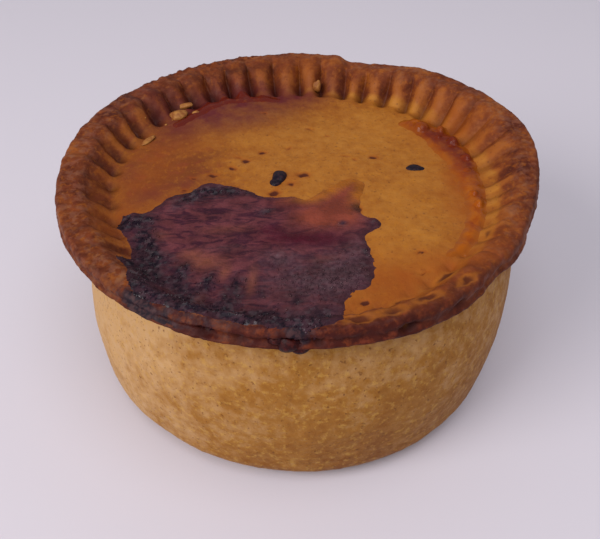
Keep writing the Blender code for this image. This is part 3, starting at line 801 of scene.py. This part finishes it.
CHAR = (
    (-20.6, -5.2, 6.4, 2.3, 0, 1), (-26, -8.4, 4, 2, 30, 0.8), (-27, -43.4, 6, 3, 0, 0.8),
    (-20, -46.6, 6, 2.6, 0, 0.9), (-13, -49, 5, 2.4, 0, 0.8), (12.4, -12.6, 1.3, 1.8, 15, 0.9),
    (9, -17.8, 1.3, 0.9, 0, 0.9), (-38.8, -16, 2.6, 2.6, 0, 1.2), (-34.6, -15.4, 3.4, 2, 0, 0.8),
    (-33.4, -22.6, 3, 6, 8, 1), (-31, -29, 4.2, 4, 0, 1), (-32, -35.5, 3, 4, 0, 1),
    (-31.5, -42, 3.4, 3, 0, 0.9), (-29, -46.5, 3, 2, 0, 0.9), (-36.7, -30.8, 2, 1.2, 0, 1),
    (-24.2, -32, 1.9, 3.3, -15, 0.85), (-26.5, -35.4, 2.8, 2.6, 0, 0.8), (-19, -35.6, 2, 3.7, -20, 0.85),
    (-23.4, -39.2, 2.6, 3.2, -20, 0.8), (-23.8, -45.4, 3, 2.4, 0, 0.9), (-13.6, -37.4, 2.1, 4.3, -10, 0.85),
    (-17, -43, 3.6, 2.8, 0, 0.8), (-10.5, -48.6, 3.6, 2, 0, 0.8), (-13, -46.4, 8, 3.4, 8, 0.4),
    (-1, -47.4, 6, 3, 0, 0.5), (3, -50.6, 5, 2.6, 0, 0.7), (-10, -52.2, 7, 1.8, 8, 0.7),
    (2, -53.6, 5, 1.6, -4, 0.6), (-14.5, -5.8, 3.6, 1.6, -15, 0.45), (-4.6, -50.6, 4, 2.2, 0, 0.9),
    (-0.8, -53, 3, 2, 0, 1), (3.6, -46, 2.6, 3, 0, 0.6), (-8.3, -39.4, 1.2, 2, 0, 0.7),
    (-8.1, -13.2, 2.4, 1.6, 20, 0.7), (-12.2, -11.2, 2, 1.4, 0, 0.5), (15.4, -18.2, 2.2, 1.8, 0, 0.65),
    (13.2, -28, 1, 3.4, 0, 0.7), (-1.4, -41.4, 0.9, 0.8, 0, 1), (-8, -44.5, 4, 1.6, 0, 0.6))
# Grey patches: the blistered grey skin on the right, and towards the top left a painted sheen, pale grey laid
# in where light glints on the skin.
GREY_AND_SHEEN = ((0, -36, 9, 6, 0, 1), (9, -34, 6, 8, 0, 1), (-4.8, -28.8, 4, 2.4, 0, 0.9), (12, -26, 3, 4, 0, 0.6),
        (-16.2, -25.4, 4, 1, 0, 0.5), (-24, -7.4, 3, 1.2, 30, 0.5), (-27.6, -11, 3, 1.4, 30, 0.5),
        (-14, -40, 2.2, 2.6, 0, 0.6), (1, -46, 8, 3, 0, 0.8), (-30, -44, 3, 3, 0, 0.3))
BARE = ((-20.1, -29.6, 4.6, 2.4, 0, 1), (-10.2, -35.4, 1.1, 4, -6, 1), (-31, -20.5, 2.4, 2, 0, 0.6),
        (-16.7, -19, 6, 1.6, 4, 0.5), (5.4, -29, 3.4, 1.4, 15, 0.6), (-26.4, -37.4, 1.4, 1.8, -15, 0.5),
        (-20.4, -40.2, 1.2, 3, -20, 0.6), (-15.8, -33, 1.2, 2.2, -15, 0.8), (-23.4, -26.6, 3, 1.6, 0, 0.7))
WINE_BAND = ((-3, -22.4, 6, 2, 0, 1), (5.5, -23.2, 6, 2, 0, 1), (-7, -19.4, 3, 1.6, 0, 0.7),
             (1, -11, 5, 2, 0, 0.4))
LOBE = ((3, -15.2, 5, 3.6, 0, 1), (9.2, -9.8, 4.2, 5, 0, 1.2), (12.6, -4.4, 3, 4, 0, 1.2),
        (8, -16.6, 6, 3, 0, 0.8), (-3.6, -9.8, 3, 2, 0, 0.5))
FADED = ((12, -3, 6, 5, 0, 1.6), (7, -9, 5, 5, 0, 0.8), (1, -9.4, 4, 2, 0, 0.6), (16, -8, 3, 4, 0, 1.2))
# Burst blisters, as (x, y, radius)
BLISTERS = ((-5.2, -28.8, 1.3), (12.8, -29.4, 0.9), (8.1, -38.0, 1.2), (6.2, -36.2, 0.7), (-2.4, -39.8, 0.8),
            (9.6, -31.6, 0.6), (3.4, -33.2, 0.7), (-1.0, -32.8, 0.6), (11.0, -35.0, 0.6), (2.4, -40.6, 0.8))
ABOVE_PIE = 80.0 * MM
CURVE_STEPS = 6
FILM_GRID = 0.34
FILM_MARGIN = 2.0
FILM_OVERHANG = 0.9
FILM_SINKS = 0.5
STEEPEST_STEP = 1.0
EDGE_CLEAR = 0.9
SETTLING_ROUNDS = 14
DARK_STREAK = (0.034, 0.007, 0.015, 1.0)
LIGHT_STREAK = (0.106, 0.026, 0.03, 1.0)
BURNT_WINE = (0.058, 0.004, 0.012, 1.0)
BARE_BROWN = (0.165, 0.048, 0.028, 1.0)
DARK_GREY = (0.038, 0.016, 0.022, 1.0)
LIGHT_GREY = (0.078, 0.037, 0.044, 1.0)
LOBE_RED = (0.175, 0.036, 0.02, 1.0)
EDGE_DARK = (0.04, 0.012, 0.018, 1.0)
CHAR_BLACK = (0.008, 0.003, 0.008, 1.0)
CHAR_GREY = (0.04, 0.015, 0.022, 1.0)
LID_SURFACE = BVHTree.FromPolygons([tuple(v.co) for v in lid.data.vertices],
                                   [tuple(face.vertices) for face in lid.data.polygons])


def closed_curve(points):
    """A smooth closed line through the points."""
    p = np.array(points, dtype=float)
    before, after, beyond = (np.roll(p, shift, axis=0) for shift in (1, -1, -2))
    line = [catmull_rom(before, p, after, beyond, t) for t in np.arange(CURVE_STEPS) / CURVE_STEPS]
    return np.stack(line, axis=1).reshape(-1, 2)


def reach_in(line, x, y):
    """How far inside a closed line each place is, and below 0 outside it."""
    nearest = np.full(x.shape, 1e9)
    inside = np.zeros(x.shape, dtype=bool)
    for (ax, ay), (bx, by) in zip(line, np.roll(line, -1, axis=0)):
        dx, dy = bx - ax, by - ay
        t = np.clip(((x - ax) * dx + (y - ay) * dy) / (dx * dx + dy * dy), 0.0, 1.0)
        nearest = np.minimum(nearest, np.hypot(x - ax - t * dx, y - ay - t * dy))
        if ay != by:
            inside ^= ((ay > y) != (by > y)) & (x < ax + (y - ay) * dx / dy)
    return np.where(inside, nearest, -nearest)


def lid_levels(x, y):
    """How high the finished lid is under each place, in millimetres, and 0 beside it."""
    level = np.zeros(x.shape)
    down = Vector((0.0, 0.0, -1.0))
    for spot in np.ndindex(x.shape):
        hit = LID_SURFACE.ray_cast(Vector((x[spot] * MM, y[spot] * MM, ABOVE_PIE)), down)[0]
        if hit:
            level[spot] = hit.z / MM
    return level


def lay_skin(name, line, wander, profile, pool, masks):
    """A thin closed skin over the finished lid inside a line. profile gives its height in mm.

    pool says how far the skin fills the grooves below it, from 0 to 1.
    """
    low, high = line.min(axis=0) - FILM_MARGIN, line.max(axis=0) + FILM_MARGIN
    across, along = (np.arange(low[i], high[i], FILM_GRID) for i in (0, 1))
    x, y = np.meshgrid(across, along, indexing="ij")
    reach = reach_in(line, x, y) + wander * (ripples(x, y, 3.0, len(name)) + 0.2 * ripples(x, y, 1.3, 5))
    out_x, out_y = x - AXIS_X / MM, y - AXIS_Y / MM
    around = np.arctan2(out_y, out_x)
    corner = (rim_radius(around) - FACE_SLANT * near(around, *FACE_SLANT_AT)) / MM - EDGE_CLEAR
    corner += 0.45 * np.minimum(ripples(x, y, 4.0, 51), 0.5)
    reach = np.minimum(reach, corner - np.hypot(out_x, out_y))
    level = base = lid_levels(x, y)
    for _ in range(SETTLING_ROUNDS):
        wide = np.pad(level, 1, mode="edge")
        level = (wide[2:, 1:-1] + wide[:-2, 1:-1] + wide[1:-1, 2:] + wide[1:-1, :-2] + level) / 5.0
    filled = base + pool * np.clip(level - base, 0.0, None) * ease(-0.4, 1.2, reach)
    top = filled + profile(x, y, reach)
    keep = (reach[:-1, :-1] + reach[1:, 1:]) * 0.5 > -FILM_OVERHANG
    corners = np.stack([base[:-1, :-1], base[1:, 1:], base[1:, :-1], base[:-1, 1:]])
    keep &= np.ptp(corners, axis=0) < STEEPEST_STEP
    used = np.zeros(x.shape, dtype=bool)
    for i, j in ((0, 0), (1, 0), (0, 1), (1, 1)):
        used[i:i + keep.shape[0], j:j + keep.shape[1]] |= keep
    count = int(used.sum())
    number = np.full(x.shape, -1)
    number[used] = np.arange(count)
    ringed = np.pad(keep, 1)
    faces = []
    for i, j in zip(*np.nonzero(keep)):
        a, b, c, d = (int(number[spot]) for spot in ((i, j), (i + 1, j), (i + 1, j + 1), (i, j + 1)))
        faces += [(a, b, c, d), (a + count, d + count, c + count, b + count)]
        for u, v, p, q in ((i, j - 1, a, b), (i + 1, j, b, c), (i, j + 1, c, d), (i - 1, j, d, a)):
            if not ringed[u + 1, v + 1]:
                faces.append((p, p + count, q + count, q))
    flat = np.stack([x[used], y[used]], axis=-1)
    upper = np.column_stack([flat, top[used]])
    lower = np.column_stack([flat, np.minimum(base, top)[used] - FILM_SINKS])
    mesh = bpy.data.meshes.new(name)
    mesh.from_pydata((np.concatenate([upper, lower]) * MM).tolist(), [], faces)
    mesh.shade_smooth()
    mark(mesh, "reach", np.tile(reach[used], 2))
    for mask, spots in masks.items():
        mark(mesh, mask, np.tile(np.clip(patches(spots, *flat.T), 0.0, 1.2), 2))
    return add_object(name, mesh)


def burn_profile(x, y, reach):
    """The burnt skin's height, with streaky ripples, lumps where it charred, and burst blisters."""
    full = ease(1.1, 0.2, patches(LOBE, x, y))
    height = 0.16 * full * ease(0.0, 1.5, reach) - 0.5 * ease(0.1, -0.9, reach) + 0.03
    rough = 0.05 * ripples(x, y, 1.5, 21, 3.5) + 0.03 * ripples(x, y, 0.9, 22)
    height += ease(0.0, 1.0, reach) * full * (rough + 0.15 * np.clip(patches(CHAR, x, y), 0.0, 1.0))
    for at_x, at_y, size in BLISTERS:
        away = np.hypot(x - at_x, y - at_y) / size
        height += 0.28 * size * np.exp(-(((away - 1.0) / 0.42) ** 2)) - 0.1 * np.exp(-((away / 0.7) ** 2))
    return height


def burnt_material():
    material, shader, place = new_material(
        "burnt_gravy", Metallic=0.0, Specular_IOR_Level=0.1, Coat_Roughness=0.22)
    drawn = work_out("ShaderNodeVectorMath", {0: place, 1: (0.45, 1.0, 1.0)}, operation="MULTIPLY")
    streak = noise(drawn, 1.9 * MM, 4.0, 0.62, 1.0)
    fine = noise(place, 1.1 * MM, 3.0, 0.6)
    uneven = plus(times(minus(fine, 0.5), 1.2), 1.0)

    def two_tone(size, low, high, dark, light):
        return blend(spread(noise(place, size * MM, 3.0), low, high), dark, light)

    def stain(colour, name, tone, strength, softness=1.0):
        share = times(times(read(place, name), uneven), strength)
        share = spread(share, 0.5 - 0.5 * softness, 0.5 + 0.5 * softness, kind="LINEAR")
        return blend(share, colour, tone)

    colour = blend(spread(streak, 0.36, 0.62), DARK_STREAK, LIGHT_STREAK)
    colour = stain(colour, "wine", BURNT_WINE, 0.85)
    colour = stain(colour, "bare", BARE_BROWN, 0.8, 0.9)
    # Grey where the skin blistered, and in places a painted sheen.
    colour = stain(colour, "grey_and_sheen", two_tone(0.9, 0.3, 0.68, DARK_GREY, LIGHT_GREY), 0.8)
    colour = stain(colour, "lobe", LOBE_RED, 1.0)
    off_lobe = minus(1.0, read(place, "lobe"), clamp=True)
    edge = times(spread(read(place, "reach"), 2.0, 0.3), off_lobe)
    colour = blend(times(edge, 0.6), colour, EDGE_DARK)
    colour = stain(colour, "char", two_tone(1.3, 0.36, 0.64, CHAR_BLACK, CHAR_GREY), 1.0, 0.7)
    fades = times(spread(read(place, "reach"), 4.2, 0.3), read(place, "faded"), clamp=True)
    colour = blend(fades, colour, LID_GOLDEN)
    blotch = two_tone(5.0, 0.3, 0.7, (0.75, 0.72, 0.72, 1.0), (1.2, 1.2, 1.25, 1.0))
    colour = blend(1.0, colour, blotch, "MULTIPLY")
    crusted = plus(read(place, "char"), times(read(place, "grey_and_sheen"), 0.4), clamp=True)
    glint = times(spread(noise(place, 1.5 * MM, 3.0), 0.5, 0.62), crusted)
    shader.id_data.links.new(times(glint, 0.85), shader.inputs["Coat Weight"])
    rough = spread(fine, 0.3, 0.7, 0.36, 0.6)
    finish_shader(shader, colour, plus(streak, fine), 0.3 * MM, rough)
    return material


burn = lay_skin("burnt_gravy_skin", closed_curve(BURN_OUTLINE), 0.24, burn_profile, 0.45,
                {"char": CHAR, "grey_and_sheen": GREY_AND_SHEEN, "bare": BARE, "wine": WINE_BAND, "lobe": LOBE, "faded": FADED})
burn.data.materials.append(burnt_material())
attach(burn, "root")

# ---- The gravy round the lid's edge ----------------------------------------------------------
# Gravy and fat that came up between lid and rim and set there without burning: a glossy orange and
# dark red run with bubbles in it on the right, and a thin dark red one at the back left.
RIGHT_RUN = (
    (25.6, 24.4), (30.0, 27.0), (33.6, 25.2), (37.6, 21.4), (40.6, 15.4), (42.0, 9.0), (42.4, 0.4),
    (42.0, -7.6), (41.2, -13.0), (39.8, -18.5), (35.4, -27.4), (30.8, -30.6), (29.6, -29.4),
    (33.0, -24.6), (35.2, -18.6), (36.6, -12.6), (36.4, -6.2), (35.9, -0.9), (35.2, 5.4),
    (33.0, 12.0), (30.4, 18.4))
BACK_RUN = (
    (-33.0, 24.2), (-30.4, 28.4), (-27.2, 32.2), (-24.4, 36.4), (-20.4, 38.6), (-15.8, 40.4),
    (-11.4, 40.4), (-7.6, 39.6), (-5.0, 38.6), (-6.4, 36.6), (-10.4, 36.4), (-15.0, 35.4),
    (-19.6, 34.2), (-24.0, 30.6), (-28.0, 26.4), (-31.4, 22.8))
# Bubbles that set in the run, as (x, y, radius, height)
RIGHT_BUBBLES = (
    (31.4, 21.6, 2.0, 1.5), (36.2, 20.4, 1.2, 1.1), (38.4, 14.6, 1.6, 1.4), (40.4, 7.2, 1.3, 1.0),
    (39.2, -8.2, 1.0, 0.8), (39.6, -12.4, 1.1, 0.9), (34.9, 17.0, 0.8, 0.6), (39.6, 2.0, 0.9, 0.5))
RIGHT_DARK = ((33, 19, 5, 4, -40, 0.8), (38, 12, 3, 7, 10, 0.9), (40.6, 3, 1.6, 6, 0, 0.8),
              (40.6, -9, 1.4, 4, 0, 0.6))
BACK_DARK = ((-20, 34, 24, 12, 20, 3.0),)
GLAZE_ORANGE = (0.22, 0.034, 0.001, 1.0)
GLAZE_AMBER = (0.33, 0.08, 0.002, 1.0)
GLAZE_RED = (0.1, 0.01, 0.005, 1.0)
GLAZE_EDGE = (0.24, 0.062, 0.006, 1.0)


def run_profile(bubbles, height):
    """The height of a run of gravy, with bubbles that set in it."""
    def profile(x, y, reach):
        body = height * ease(0.0, 1.6, reach) - 0.6 * ease(0.1, -0.9, reach) + 0.02
        level = body + ease(0.0, 1.0, reach) * 0.1 * height * ripples(x, y, 3.6, 31)
        for at_x, at_y, size, rise in bubbles:
            away = np.hypot(x - at_x, y - at_y) / size
            level += rise * np.sqrt(np.clip(1.0 - away * away, 0.0, None))
        return level
    return profile


def glaze_material():
    material, shader, place = new_material(
        "gravy_glaze", Metallic=0.0, Specular_IOR_Level=0.06, Coat_Weight=0.15, Coat_Roughness=0.12)
    slow = noise(place, 4.0 * MM, 3.0, 0.6, 0.5)
    fine = noise(place, 1.2 * MM, 3.0)
    colour = blend(spread(slow, 0.35, 0.65), GLAZE_ORANGE, GLAZE_AMBER)
    dark = times(read(place, "dark"), spread(fine, 0.25, 0.6, 0.6, 1.0), clamp=True)
    colour = blend(dark, colour, GLAZE_RED)
    clear = minus(1.0, read(place, "dark"), clamp=True)
    edge = times(spread(read(place, "reach"), 2.2, 0.0, 0.0, 0.9), clear)
    colour = blend(edge, colour, GLAZE_EDGE)
    finish_shader(shader, colour, fine, 0.08 * MM, spread(fine, 0.3, 0.7, 0.2, 0.36))
    return material


GLAZE = glaze_material()
for name, outline, bubbles, height, dark in (("gravy_run_right", RIGHT_RUN, RIGHT_BUBBLES, 0.45, RIGHT_DARK),
                                             ("gravy_run_back", BACK_RUN, (), 0.25, BACK_DARK)):
    run = lay_skin(name, closed_curve(outline), 0.3, run_profile(bubbles, height), 0.8, {"dark": dark})
    run.data.materials.append(GLAZE)
    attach(run, "root")

# ---- Bubbles in the burnt gravy --------------------------------------------------------------
# Where the gravy charred it boiled dry in beads smaller than a pinhead, which catch the light.
# They are scattered over the burnt skin, thickest where it is black or grey.
def bead_nodes():
    tree, given = shaping_tree("scattered_beads", ("Density", "Smallest", "Largest", "Flatness"), "Int")
    along = put(tree, "GeometryNodeInputNormal")[0]
    upward = maths("GREATER_THAN", along_axis(along, "Z"), 0.3)
    mask = put(tree, "GeometryNodeInputNamedAttribute", {"Name": "beaded"}, data_type="FLOAT")[0]
    dense = times(times(mask, upward), given["Density"])
    spots = put(tree, "GeometryNodeDistributePointsOnFaces", {
        "Mesh": given["Geometry"], "Density": dense, "Seed": given["Seed"]})
    size = put(tree, "FunctionNodeRandomValue", {
        2: given["Smallest"], 3: given["Largest"], "Seed": given["Seed"]}, data_type="FLOAT")[1]
    thick = times(size, given["Flatness"])
    shape = work_out("ShaderNodeCombineXYZ", {"X": size, "Y": size, "Z": thick})
    bead = put(tree, "GeometryNodeMeshIcoSphere", {"Radius": 1.0, "Subdivisions": 1})[0]
    beads = work_out("GeometryNodeInstanceOnPoints", {
        "Points": spots["Points"], "Instance": bead, "Rotation": spots["Rotation"], "Scale": shape})
    return finish_shaping(tree, given, beads)


def scatter(name, surface, spots, material, **values):
    """Beads scattered over another piece, as thick as the patches in spots say."""
    thing = add_object(name, surface.data.copy())
    thing.data.name = name
    points = points_of(thing.data) / MM
    mark(thing.data, "beaded", np.clip(patches(spots, points[:, 0], points[:, 1]) - 0.25, 0.0, 1.0))
    set_by_nodes(thing, BEADS, material=material, **values)
    return thing


BEADS = bead_nodes()
bubbles = scatter("burnt_bubbles", burn, CHAR + GREY_AND_SHEEN[:2], burn.data.materials[0], density=1.4e6,
                  smallest=0.12 * MM, largest=0.34 * MM, flatness=0.7, seed=4)
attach(bubbles, "root")

# ---- Plug, spot and drip ---------------------------------------------------------------------
# Burnt gravy that set as solid blobs: the plug that stands in the steam hole, the one in the small
# slot on the right and the drip that hangs on the front of the rim.
# A lump is (x, y, z, half-length, half-width, half-height, turn, unevenness, seed), in millimetres.
BLOBS = ((-5.1, -0.1, 49.2, 1.8, 2.7, 1.3, -12, 0.14, 1), (-5.9, -2.2, 49.1, 1.5, 1.6, 1.0, -20, 0.14, 2),
         (27.3, 3.6, 48.5, 2.4, 1.4, 0.7, -10, 0.12, 3), (28.4, 3.4, 48.4, 1.4, 1.1, 0.6, -14, 0.12, 4))
DRIPS = ((-2.7, -54.9, 50.6, 2.2, 1.1, 1.5, 0, 0.2, 5), (-0.9, -54.8, 49.7, 2.0, 1.0, 1.3, 0, 0.2, 6),
         (-5.0, -54.5, 51.4, 1.3, 0.8, 1.0, 0, 0.25, 7))
BLOB_BLACK = (0.006, 0.003, 0.008, 1.0)
BLOB_GREY = (0.035, 0.012, 0.018, 1.0)
DRIP_DARK = (0.018, 0.002, 0.003, 1.0)
DRIP_RED = (0.06, 0.007, 0.005, 1.0)


def add_lumps(name, lumps, detail=4):
    """Uneven rounded lumps, joined as one piece."""
    made = bmesh.new()
    for x, y, z, long, wide, high, turned, uneven, seed in lumps:
        place = (Matrix.Translation(Vector((x, y, z)) * MM) @ Matrix.Rotation(math.radians(turned), 4, "Z")
                 @ Matrix.Diagonal((long * MM, wide * MM, high * MM, 1.0)))
        lump = bmesh.ops.create_icosphere(made, subdivisions=detail, radius=1.0)["verts"]
        shape = np.array([v.co for v in lump])
        waves = sum(ripples(shape[:, i], shape[:, i - 1], 1.6, seed * 3 + i) for i in range(3))
        for v, bulge in zip(lump, waves):
            v.co = place @ (v.co * float(1.0 + uneven * bulge / 2.0))
    mesh = bpy.data.meshes.new(name)
    made.to_mesh(mesh)
    made.free()
    mesh.shade_smooth()
    return add_object(name, mesh)


def lump_material(name, dark, light):
    material, shader, place = new_material(name, Metallic=0.0, Specular_IOR_Level=0.14)
    fine = noise(place, 0.9 * MM, 3.0)
    colour = blend(spread(fine, 0.4, 0.75), dark, light)
    finish_shader(shader, colour, fine, 0.25 * MM, spread(fine, 0.3, 0.7, 0.34, 0.55))
    return material


for name, lumps, dark, light in (("burnt_gravy_blobs", BLOBS, BLOB_BLACK, BLOB_GREY),
                                 ("gravy_drip", DRIPS, DRIP_DARK, DRIP_RED)):
    piece = add_lumps(name, lumps)
    piece.data.materials.append(lump_material(name, dark, light))
    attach(piece, "root")

# ---- Crumbs ----------------------------------------------------------------------------------
# Flakes of pastry that fell off the ribs while the pie baked and lie at their foot on the back
# left, one pale flake behind, and a dust of finer crumbs.
CRUMBS = ((-32.0, 28.8, 50.4, 2.4, 1.9, 1.3, 12, 0.24, 11), (-30.4, 32.4, 51.0, 2.0, 0.9, 0.6, 24, 0.3, 12),
          (5.0, 43.3, 50.3, 1.1, 1.2, 1.7, 0, 0.24, 13), (-38.2, 16.4, 50.1, 2.4, 0.9, 0.5, 60, 0.3, 14),
          (-27.6, 30.2, 50.1, 1.0, 0.7, 0.5, 10, 0.3, 15))
DUSTED = ((-34, 27, 7, 5, 50, 1), (-40, 14, 4, 6, 0, 0.6), (5, 44, 4, 3, 0, 0.6), (24, -40, 12, 4, 30, 0.6))
CRUMB_GOLDEN = (0.22, 0.068, 0.012, 1.0)
CRUMB_PALE = (0.35, 0.148, 0.03, 1.0)


def crumb_material():
    material, shader, place = new_material(
        "pastry_crumb", Metallic=0.0, Roughness=0.6, Specular_IOR_Level=0.3)
    fine = noise(place, 1.0 * MM, 3.0)
    colour = blend(spread(fine, 0.35, 0.7), CRUMB_GOLDEN, CRUMB_PALE)
    finish_shader(shader, colour, fine, 0.2 * MM)
    return material


crumbs = add_lumps("pastry_crumbs", CRUMBS, 3)
crumbs.data.materials.append(crumb_material())
dust = scatter("crumb_dust", lid, DUSTED, crumbs.data.materials[0], density=7.0e4,
               smallest=0.2 * MM, largest=0.5 * MM, flatness=0.5, seed=7)
for piece in (crumbs, dust):
    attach(piece, "root")

# ---- Floor, light and camera -----------------------------------------------------------------
# A plain pale floor that stands in for the room, under soft studio light from the left. The camera
# looks down from close above the front.
FLOOR_SIZE = 4.0
FLOOR_COLOUR = (0.6, 0.56, 0.62, 1.0)
ROOM_COLOUR, ROOM_STRENGTH = (0.95, 0.95, 1.0, 1.0), 0.45
CAMERA_PLACE = Vector((0.13, -143.2, 146.1)) * MM
CAMERA_AIM = Vector((-0.73, -0.7, 20.8)) * MM
CAMERA_ROLL = -0.025
PHOTO_WIDTH = 600
FOCAL_PIXELS = 727
bpy.ops.mesh.primitive_plane_add(size=FLOOR_SIZE)
floor = bpy.context.object
floor.name = "floor"
floor.data.materials.append(new_material("pale_floor", Base_Color=FLOOR_COLOUR, Roughness=0.6)[0])

world = bpy.data.worlds.new("soft_room")
world.use_nodes = True
bpy.context.scene.world = world
backdrop = world.node_tree.nodes["Background"]
backdrop.inputs["Color"].default_value = ROOM_COLOUR
backdrop.inputs["Strength"].default_value = ROOM_STRENGTH


def add_softbox(name, place, aim, size, power, colour):
    data = bpy.data.lights.new(name, "AREA")
    data.shape = "DISK"
    data.size = size
    data.energy = power
    data.color = colour
    lamp = add_object(name, data)
    lamp.location = place
    lamp.rotation_euler = (Vector(aim) - Vector(place)).to_track_quat("-Z", "Y").to_euler()


add_softbox("window", (-0.8, -0.55, 0.7), (0.0, -0.05, 0.03), 0.7, 9.5, (1.0, 0.97, 0.94))
add_softbox("ceiling", (0.1, -0.35, 0.9), (0.0, -0.05, 0.03), 0.8, 4.2, (0.97, 0.97, 1.0))

lens = bpy.data.cameras.new("camera")
lens.sensor_width = 36.0
lens.lens = lens.sensor_width * FOCAL_PIXELS / PHOTO_WIDTH
lens.clip_start, lens.clip_end = 0.01, 20.0
camera = add_object("camera", lens)
ahead = (CAMERA_AIM - CAMERA_PLACE).normalized()
level = ahead.cross(Vector((0.0, 0.0, 1.0))).normalized()
upright = level.cross(ahead)
right = level * math.cos(CAMERA_ROLL) + upright * math.sin(CAMERA_ROLL)
up = upright * math.cos(CAMERA_ROLL) - level * math.sin(CAMERA_ROLL)
camera.matrix_world = Matrix.Translation(CAMERA_PLACE) @ Matrix((right, up, -ahead)).transposed().to_4x4()
bpy.context.scene.camera = camera
bpy.context.scene.view_settings.view_transform = "Standard"
